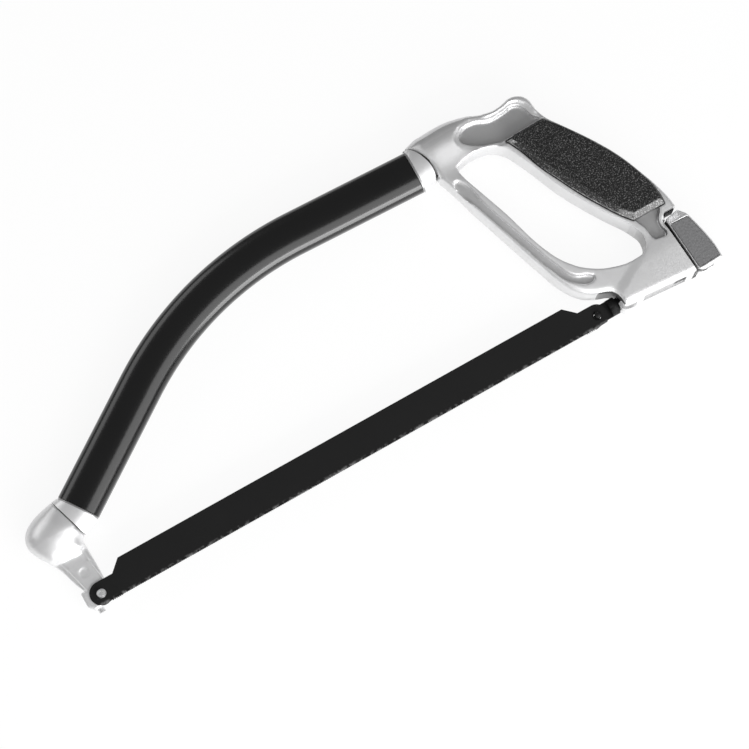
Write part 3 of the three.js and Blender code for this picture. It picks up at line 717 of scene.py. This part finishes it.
BARREL_SECTIONS = [
    collar_section(REAR_SOCKET, 15.8, 3 * SEAT_GAP),
    ((-36.4, 133.4), (-34.6, 102.4), 19, 2.2),
    ((-30.5, 133.4), (-32.6, 98), 20, 2.3),
    ((-23, 134.2), (-29.6, 94), 20, 2.5),
    ((-14.3, 133.0), (-22, 102), 18.8, 3),
    ((-6, 130.4), (-14, 108), 18.4, 3.4),
    ((0, 127.6), (-8, 110), 18, 3.6),
]
HAND_HOLE = [
    (-25.3, 102.2), (-25.4, 106.6, "corner"), (-18.5, 108.6), (-9, 108.7), (1.1, 104.3), (7.4, 93.5),
    (17.8, 68.4), (30, 46.4), (39.6, 30.8), (41.7, 24), (38.8, 17.3), (31.4, 15.4), (20, 17.1), (7.9, 22.9),
    (0, 30.3), (-6.3, 40.6), (-15.8, 71.4),
]
FRONT_POCKET = [
    (2.6, 106.8, "corner"), (28, 108, "corner"), (24.4, 112), (23, 117.4), (18, 121.6), (11.9, 121),
    (3, 120.8), (-6.4, 124.1), (-14, 123), (-16.8, 119), (-13, 113.6),
]
FINGER_POCKET = [
    (42.4, 36.6, "corner"), (42.6, 33.4), (45, 27.4), (45.6, 21.4), (46.6, 19.2, "corner"),
    (52.6, 18.2, "corner"), (53.8, 19.6), (53.0, 24.5), (53.6, 27.7), (57.2, 32.3, "corner"),
    (57.4, 36.6, "corner"),
]
GUARD_GROOVE = [
    (-32.3, 97.9), (-30.4, 100.6), (-27.2, 99), (-21.8, 80.8), (-12.9, 53.7), (-5.9, 33.9), (-1.2, 24.6),
    (6.6, 20.2), (8.6, 17.6), (5.4, 15.4), (-4.7, 20.8), (-10.5, 31.4), (-17.7, 52.1), (-26.7, 79.2),
]
GRIP_RECESS_DEPTH = 2.7
POCKET_DEPTH = 3.7
POCKET_STEP_DEPTH = 0.9
POCKET_STEP_WIDTH = 2.4
FINGER_POCKET_DEPTH = 3.6
GROOVE_DEPTH = 2.6
GROOVE_INSET = 0.4

GRIP_HOLE_EDGE = [
    (41.5, 33.7), (36.8, 39.6), (30.4, 49.9), (24.3, 60.6), (18.7, 72.2), (13.2, 84), (8.5, 97.3),
]
GRIP_LOWER_BACK = [(62, 46), (62.4, 39.4)]
GRIP_TOP = 106.6
GRIP_TOP_FRONT = 4.2
GRIP_TOP_BACK = 29.4
GRIP_TOP_RISE = 0.7
GRIP_BOTTOM = 33.7
GRIP_BOTTOM_BACK = 62.2
GRIP_RIM = 0.9
NARROW_SLOPE = 0.9
WIDE_SLOPE = 3.2
ACROSS_GRIP_X = 0.86
ACROSS_GRIP_Y = 0.51
PAD_SEAT_DEPTH = 2.3
PAD_SHOULDER = 0.5
PAD_RISE = 2.38
PAD_VOXEL = 0.4
# How much painted light the pad's slopes get: most on the lower slopes that face the lamps
LOWER_SLOPE_PAINTED_LIGHT = 0.8
OTHER_SLOPE_PAINTED_LIGHT = 0.06

BARREL_START, BARREL_END = -38, -8
BARREL_LOW, BARREL_HIGH = 86, 126
BARREL_START_FADE = 8
BARREL_END_FADE = 12
BARREL_PROUD = 0.6
BARREL_FALL = 2.4
BARREL_SOFT_ZONE = (about(REAR_STUD, -36, 88), about(REAR_STUD, 2, 140))
SLOPE_SOFT_ZONE = (about(REAR_STUD, -36, 84), about(REAR_STUD, -8, 136))
WEB_LINE_PLACE = Vector((22.6, 8.6))
WEB_LINE_NORMAL = Vector((0.5, -0.87))
WEB_SWELL = 0.7
WEB_SLOPE = 6.5
WEB_TOP = 25
WEB_TOP_FADE = 15
FACE_BAND = 0.4
ROUGH_VOXEL = 0.7
HANDLE_VOXEL = 0.45

LEVER_PIVOT = (63.7, -2.85)
LEVER_GAP_START = 7.1
LEVER_ROOM_TOP = 29.5
LEVER_ROOM_LENGTH = 30
REAR_FACE_LEAN = math.radians(3.1)
NOTCH = [
    (56.3, 20, "corner"), (56.3, 27.2), (58.2, 29.7), (62, 30.1), (78, 30.1, "corner"), (78, 20, "corner"),
]
BOSS_PLACE = (17, -1.8)
BOSS_RADIUS = 5.1
BOSS_HALF_DEPTH = 5
BAR_ROOM_END = 49.7
BAR_ROOM_RADIUS = 3.3
TONGUE_ROOM = ((45, -5.4, -3.8), (66, 1.65, 3.8))

UNDERSIDE_FRONT = about(REAR_STUD, *UNDERSIDE_CORNER)
UNDERSIDE_LEAN = math.radians(-4.2)
UNDERSIDE_LEVEL = Matrix.Rotation(-UNDERSIDE_LEAN, 3, "Z")
SLOT_START, SLOT_END = 12, 37
SLOT_HALF_WIDTH = 5.8
SLOT_DEPTH = 0.8

# How strong the painted shade is on recess floors, inner walls, the arch and the slot, and how dark the
# seam is; and where the shade starts and fades on the walls that have it.
# A zone is its least and greatest x and its least and greatest y.
FLOOR_SHADE = 0.5
SLOT_SHADE = 0.4
HOLE_END_SHADE = 0.7
HOLE_END_ZONE = (25, 58, 6, 40)
HOLE_END_TOP = 35
HOLE_END_FADE = 14
ARCH_SHADE = 0.95
ARCH_ZONE = (0, 15, -3, 9)
ARCH_FADE = 7
SEAM_ZONE = (-50, -33, 108, 140)


def grip_loop(seat=0.0, slope=0.0):
    """The grip's outline, drawn in by a seat all round and by a slope.
    The slope is widest along the hand hole and the lower end."""
    rim = GRIP_RIM + seat + NARROW_SLOPE * slope
    near_hole = seat + WIDE_SLOPE * slope
    top = GRIP_TOP - seat - NARROW_SLOPE * slope
    bottom = GRIP_BOTTOM + near_hole
    back = [(x - ACROSS_GRIP_X * rim, y - ACROSS_GRIP_Y * rim) for x, y in reversed(BACK_EDGE[2:-1])]
    hole = [(x + ACROSS_GRIP_X * near_hole, y + ACROSS_GRIP_Y * near_hole) for x, y in GRIP_HOLE_EDGE]
    back += [(x - rim, y) for x, y in GRIP_LOWER_BACK]
    return [
        (GRIP_TOP_FRONT + ACROSS_GRIP_X * near_hole, top, "corner"),
        (GRIP_TOP_BACK - ACROSS_GRIP_X * rim, top + GRIP_TOP_RISE, "corner"),
        *back,
        (GRIP_BOTTOM_BACK - rim, bottom, "corner"),
        (hole[0][0], bottom, "corner"),
        *hole[1:],
    ]


def smooth_step(value):
    value = min(max(value, 0.0), 1.0)
    return value * value * (3 - 2 * value)


def face_height(x, y):
    """How far the handle's face stands from the mid-plane.
    It falls away from the barrel's top towards the guard."""
    if not BARREL_LOW < y < BARREL_HIGH:
        return HANDLE_HALF
    fall = BARREL_FALL * math.sin(math.pi * (BARREL_HIGH - y) / (BARREL_HIGH - BARREL_LOW)) ** 2
    share = smooth_step((x - BARREL_START) / BARREL_START_FADE)
    share *= smooth_step((BARREL_END - x) / BARREL_END_FADE)
    return HANDLE_HALF + (BARREL_PROUD - fall) * share


def slope_barrel(thing):
    """Presses the barrel's sides down to the face's height."""
    for vert in thing.data.vertices:
        x, y, z = (vert.co - REAR_STUD) / MM
        limit = face_height(x, y)
        if x < BARREL_END and BARREL_LOW < y < BARREL_HIGH and abs(z) > limit:
            vert.co.z = REAR_STUD.z + math.copysign(limit * MM, z)
    softened(thing, times=25, zone=SLOPE_SOFT_ZONE)


def swell_web(thing):
    """Raises the lower web a little beyond a soft line from the hand hole to the arch over the draw bar."""
    for vert in thing.data.vertices:
        x, y, z = (vert.co - REAR_STUD) / MM
        beyond = WEB_LINE_NORMAL.dot(Vector((x, y)) - WEB_LINE_PLACE)
        share = smooth_step(beyond / WEB_SLOPE + 0.5) * smooth_step((WEB_TOP - y) / WEB_TOP_FADE)
        if abs(z) > HANDLE_HALF - FACE_BAND:
            vert.co.z += math.copysign(WEB_SWELL * MM * share, z)


def both_sides(loop, depth, inset=0.0):
    """A cutter for a recess of one outline in the near and the far side."""
    near = flat_shape(loop, HANDLE_HALF - depth, CUTTER_HALF, REAR_STUD, 0.0, inset)
    far = flat_shape(loop, -CUTTER_HALF, -HANDLE_HALF + depth, REAR_STUD, 0.0, inset)
    return joined([near, far])


def right_through(loop):
    """A cutter that goes through the whole handle."""
    return flat_shape(loop, -CUTTER_HALF, CUTTER_HALF, REAR_STUD)


def lower_boss():
    """The lower half of a round boss, under the place where the draw bar comes out."""
    boss = upright_disc(about(REAR_STUD, *BOSS_PLACE), BOSS_RADIUS, BOSS_HALF_DEPTH)
    upper_half = block((0, 0, -CUTTER_REACH), (2 * CUTTER_REACH, CUTTER_REACH, CUTTER_REACH), REAR_STUD)
    return carved(boss, upper_half)


def behind_rear_face():
    """The room behind the handle's leaning rear face, where the lever sits."""
    low = (-LEVER_GAP_START, -CUTTER_REACH, -CUTTER_REACH)
    high = (LEVER_ROOM_LENGTH, LEVER_ROOM_TOP, CUTTER_REACH)
    return block(low, high, about(REAR_STUD, *LEVER_PIVOT), REAR_FACE_LEAN)


def underside_slot():
    low = (SLOT_START, -CUTTER_REACH, -SLOT_HALF_WIDTH)
    high = (SLOT_END, SLOT_DEPTH, SLOT_HALF_WIDTH)
    return block(low, high, UNDERSIDE_FRONT, UNDERSIDE_LEAN)


def within(zone, x, y):
    left, right, low, high = zone
    return left < x < right and low < y < high


def shade_and_seam_share(place, normal):
    """How dark a face of the handle is made: painted shade in recesses and on inner walls, and the dark
    seam at the barrel's end.
    """
    x, y, z = (place - REAR_STUD) / MM
    along, up, side = UNDERSIDE_LEVEL @ (place - UNDERSIDE_FRONT) / MM
    sunk = face_height(x, y) - abs(z)
    is_wall = abs(normal.z) < 0.5
    share = 0.0
    # Painted shade on recess floors, darker the deeper they lie
    if abs(normal.z) > 0.8 and sunk > 0.4:
        share = FLOOR_SHADE * min(sunk / POCKET_DEPTH, 1.0)
    # Painted shade on the hand hole's lower end wall, on the parts that face towards -x, fading upwards
    if is_wall and within(HOLE_END_ZONE, x, y):
        turned = smooth_step((-0.1 - normal.x) / 0.5)
        share = HOLE_END_SHADE * turned * smooth_step((HOLE_END_TOP - y) / HOLE_END_FADE)
    # Painted shade on the wall of the arch over the draw bar
    if is_wall and within(ARCH_ZONE, x, y):
        share = ARCH_SHADE * smooth_step(x / ARCH_FADE)
    # The barrel's end, inside the seam
    if abs(normal.z) < 0.4 and normal.x < -0.6 and within(SEAM_ZONE, x, y):
        share = SEAM_SKIN
    # Painted shade in the slot underneath
    in_slot = SLOT_START - 1 < along < SLOT_END + 1 and abs(side) < SLOT_HALF_WIDTH + 0.2
    if normal.y < -0.8 and in_slot and up > SLOT_DEPTH / 2:
        share = SLOT_SHADE
    return share


# Stores the painted shade and the dark seam as a face value named recess, which the metal's colour reads
def mark_shade_and_seams(thing):
    shares = thing.data.attributes.new("recess", "FLOAT", "FACE")
    for face in thing.data.polygons:
        shares.data[face.index].value = shade_and_seam_share(face.center, face.normal)


def handle_form():
    """The handle's outer form, before anything is cut into it."""
    plate = flat_shape(HANDLE_OUTLINE, -HANDLE_HALF, HANDLE_HALF, REAR_STUD, HANDLE_ROUND)
    barrel = swept(BARREL_SECTIONS, REAR_STUD, REAR_JOINT_DOME)
    body = joined([plate, barrel])
    remeshed(body, ROUGH_VOXEL)
    softened(body, times=6)
    softened(body, times=50, zone=BARREL_SOFT_ZONE)
    slope_barrel(body)
    return carved(body, lower_boss(), "UNION")


def handle_casting():
    """Recesses are cut before the edges are softened, and what meets other pieces is cut after."""
    body = handle_form()
    carved(body, right_through(HAND_HOLE))
    carved(body, both_sides(grip_loop(), GRIP_RECESS_DEPTH))
    carved(body, both_sides(FRONT_POCKET, POCKET_STEP_DEPTH, -POCKET_STEP_WIDTH))
    carved(body, both_sides(FRONT_POCKET, POCKET_DEPTH))
    carved(body, both_sides(FINGER_POCKET, FINGER_POCKET_DEPTH))
    carved(body, both_sides(GUARD_GROOVE, GROOVE_DEPTH, GROOVE_INSET))
    remeshed(body, HANDLE_VOXEL)
    softened(body, times=5)
    swell_web(body)
    thinned(body)
    carved(body, behind_rear_face())
    carved(body, right_through(NOTCH))
    carved(body, rod(0, BAR_ROOM_END, BAR_ROOM_RADIUS, REAR_STUD))
    carved(body, underside_slot())
    carved(body, block(*TONGUE_ROOM, REAR_STUD))
    mark_shade_and_seams(body)
    placed("handle_casting", body, sharp=40)


def grip_pad(name, side):
    base = side * (HANDLE_HALF - PAD_SEAT_DEPTH)
    shoulder = side * (HANDLE_HALF + PAD_SHOULDER)
    crown = side * (HANDLE_HALF + PAD_RISE)
    foot, top = grip_loop(SEAT_GAP), grip_loop(SEAT_GAP, 1)
    pad = stacked([(foot, base), (foot, shoulder), (top, crown)], REAR_STUD)
    remeshed(pad, PAD_VOXEL)
    softened(pad, times=3)
    # Painted light: slopes are marked lighter, the lower ones that face the lamps most
    slopes = pad.data.attributes.new("slope", "FLOAT", "FACE")
    for face in pad.data.polygons:
        if 0.3 < abs(face.normal.z) < 0.95:
            light = LOWER_SLOPE_PAINTED_LIGHT if face.normal.y < -0.3 else OTHER_SLOPE_PAINTED_LIGHT
            slopes.data[face.index].value = light
    placed(name, pad, sharp=60)


nose_casting()
handle_casting()
grip_pad("grip_pad_near", 1)
grip_pad("grip_pad_far", -1)


# Lever, blade, bar, studs and pins

LEVER_VOXEL = 0.25
SHARP_STEEL = 35

TEETH_PER_INCH = 24
TOOTH_PITCH = 25.4 / TEETH_PER_INCH
TOOTHLESS_END = 16
GULLET_DEPTH = 0.75
GULLET_WIDTH = 0.94 * TOOTH_PITCH
GULLET_PEAK = 0.7 * TOOTH_PITCH

# Painted shade: a black strip along the wall of the notch over the lever, where the gap lies in shade
NOTCH_SHADE_STRIP = [
    (56.4, 26.4, "corner"), (57.0, 26.4, "corner"), (57.3, 27.6), (59, 29.2), (64.4, 29.4, "corner"),
    (64.4, 30.0, "corner"), (62, 30.0), (58.3, 29.6), (56.4, 27.4),
]
SHADE_STRIP_HALF = 5
BAR_HEAD_START, BAR_HEAD_END = 8, 13
BAR_HEAD_RADIUS = 3.6
STUD_RADIUS = 1.85
STUD_DIMPLE_RADIUS = 0.9
STUD_DIMPLE_DEPTH = 0.5


def tension_lever():
    lever = node_copy("tension_lever")
    remeshed(lever, LEVER_VOXEL)
    placed("tension_lever", softened(lever, times=2))


def gullets():
    """The gaps between the blade's teeth, as one cutter that stands 1 mm past the blade."""
    low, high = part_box("blade")
    start = low[0] + TOOTHLESS_END * MM
    length = high[0] - low[0] - 2 * TOOTHLESS_END * MM
    heights = (low[2] - MM, high[2] + MM)
    outline = ((0, -1), (GULLET_WIDTH, -1), (GULLET_WIDTH, 0), (GULLET_PEAK, GULLET_DEPTH), (0, 0))
    bm = bmesh.new()
    for i in range(int(length / (TOOTH_PITCH * MM))):
        x = start + i * TOOTH_PITCH * MM
        near, far = (
            [bm.verts.new((x + across * MM, TOOTH_LINE + up * MM, height)) for across, up in outline]
            for height in heights
        )
        for j, vert in enumerate(near):
            bm.faces.new((near[j - 1], vert, far[j], far[j - 1]))
        bm.faces.new(near)
        bm.faces.new(far)
    facing_out(bm)
    return scratch("gullets", bm)


def blade():
    body = node_copy("blade")
    carved(body, gullets())
    placed("blade", body, sharp=5)


def cam_plate():
    """The wear plate, with a black strip added in the notch over the lever as painted shade."""
    shade_strip = flat_shape(NOTCH_SHADE_STRIP, -SHADE_STRIP_HALF, SHADE_STRIP_HALF, REAR_STUD)
    placed("cam_plate", joined([node_copy("cam_plate"), shade_strip]), sharp=SHARP_STEEL)


def draw_bar():
    bar = node_copy("draw_bar")
    carved(bar, rod(BAR_HEAD_START, BAR_HEAD_END, BAR_HEAD_RADIUS, REAR_STUD), "UNION")
    placed("draw_bar", bar, sharp=SHARP_STEEL)


def front_blade_stud():
    low, high = (Vector(corner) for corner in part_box("front_blade_stud"))
    centre = Vector((*FRONT_STUD.xy, (low.z + high.z) / 2))
    top = Vector((*FRONT_STUD.xy, high.z))
    stud = upright_disc(centre, STUD_RADIUS, (high.z - low.z) / 2 / MM)
    carved(stud, upright_disc(top, STUD_DIMPLE_RADIUS, STUD_DIMPLE_DEPTH))
    placed("front_blade_stud", stud, sharp=SHARP_STEEL)


tension_lever()
blade()
cam_plate()
draw_bar()
front_blade_stud()
for node in ("rear_blade_stud", "front_flush_stud", "nose_pin", "handle_pin", "lever_pin"):
    placed(node, node_copy(node), sharp=SHARP_STEEL)


# Stage, light and camera

FLOOR_HALF = 6.0
FLOOR_WHITE_SHARE = 0.91
WORLD_LIGHT = 0.2

AZIMUTH = math.radians(-29.66)
ELEVATION = math.radians(78.0)
CAMERA_DISTANCE = 1.300
CAMERA_AIM = about(FRONT_STUD, 181.78, 30.94)
CAMERA_LENS = 117.7
SENSOR_WIDTH = 36


def pale_floor():
    """A pale matt floor that keeps the shadow and looks almost white to the camera and in reflections."""
    made, tree, shader = material("pale_floor")
    feed(tree, shader.inputs["Base Color"], grey(0.92))
    feed(tree, shader.inputs["Roughness"], 0.9)
    feed(tree, shader.inputs["Specular IOR Level"], 0.1)
    white = tree.nodes.new("ShaderNodeEmission")
    feed(tree, white.inputs["Strength"], 1.0)
    rays = tree.nodes.new("ShaderNodeLightPath").outputs
    seen = maths(tree, "MAXIMUM", rays["Is Camera Ray"], rays["Is Glossy Ray"])
    seen = maths(tree, "MAXIMUM", seen, rays["Is Transmission Ray"])
    blend = tree.nodes.new("ShaderNodeMixShader")
    feed(tree, blend.inputs["Fac"], maths(tree, "MULTIPLY", seen, FLOOR_WHITE_SHARE))
    feed(tree, blend.inputs[1], shader.outputs["BSDF"])
    feed(tree, blend.inputs[2], white.outputs["Emission"])
    feed(tree, tree.nodes["Material Output"].inputs["Surface"], blend.outputs["Shader"])
    return made


def floor():
    bm = bmesh.new()
    bmesh.ops.create_grid(bm, x_segments=1, y_segments=1, size=FLOOR_HALF)
    ground = scratch("floor", bm)
    ground.data.materials.append(pale_floor())


def world():
    made = bpy.data.worlds.new("studio")
    made.use_nodes = True
    background = made.node_tree.nodes["Background"]
    background.inputs["Color"].default_value = grey(1)
    background.inputs["Strength"].default_value = WORLD_LIGHT
    bpy.context.scene.world = made


def lamp(name, place, size, power):
    """A soft rectangular light that looks at the middle of the floor."""
    light = bpy.data.lights.new(name, "AREA")
    light.shape = "RECTANGLE"
    light.size, light.size_y = size
    light.energy = power
    thing = bpy.data.objects.new(name, light)
    thing.location = place
    thing.rotation_euler = (-Vector(place)).to_track_quat("-Z", "Y").to_euler()
    bpy.context.collection.objects.link(thing)


def camera():
    ahead = Vector((-math.sin(AZIMUTH), math.cos(AZIMUTH), 0))
    back = Vector((0, 0, math.sin(ELEVATION))) - ahead * math.cos(ELEVATION)
    data = bpy.data.cameras.new("camera")
    data.sensor_width = SENSOR_WIDTH
    data.lens = CAMERA_LENS
    thing = bpy.data.objects.new("camera", data)
    thing.location = CAMERA_AIM + back * CAMERA_DISTANCE
    thing.rotation_euler = (-back).to_track_quat("-Z", "Y").to_euler()
    bpy.context.collection.objects.link(thing)
    bpy.context.scene.camera = thing


floor()
world()
lamp("low_light", place=(0.0, -1.5, 0.58), size=(1.6, 1.1), power=36)
lamp("soft_box", place=(0.28, -0.72, 1.05), size=(1.4, 1.2), power=11)
lamp("back_light", place=(-0.7, 1.0, 0.75), size=(1.4, 0.6), power=4)
camera()
bpy.context.scene.view_settings.view_transform = "Standard"
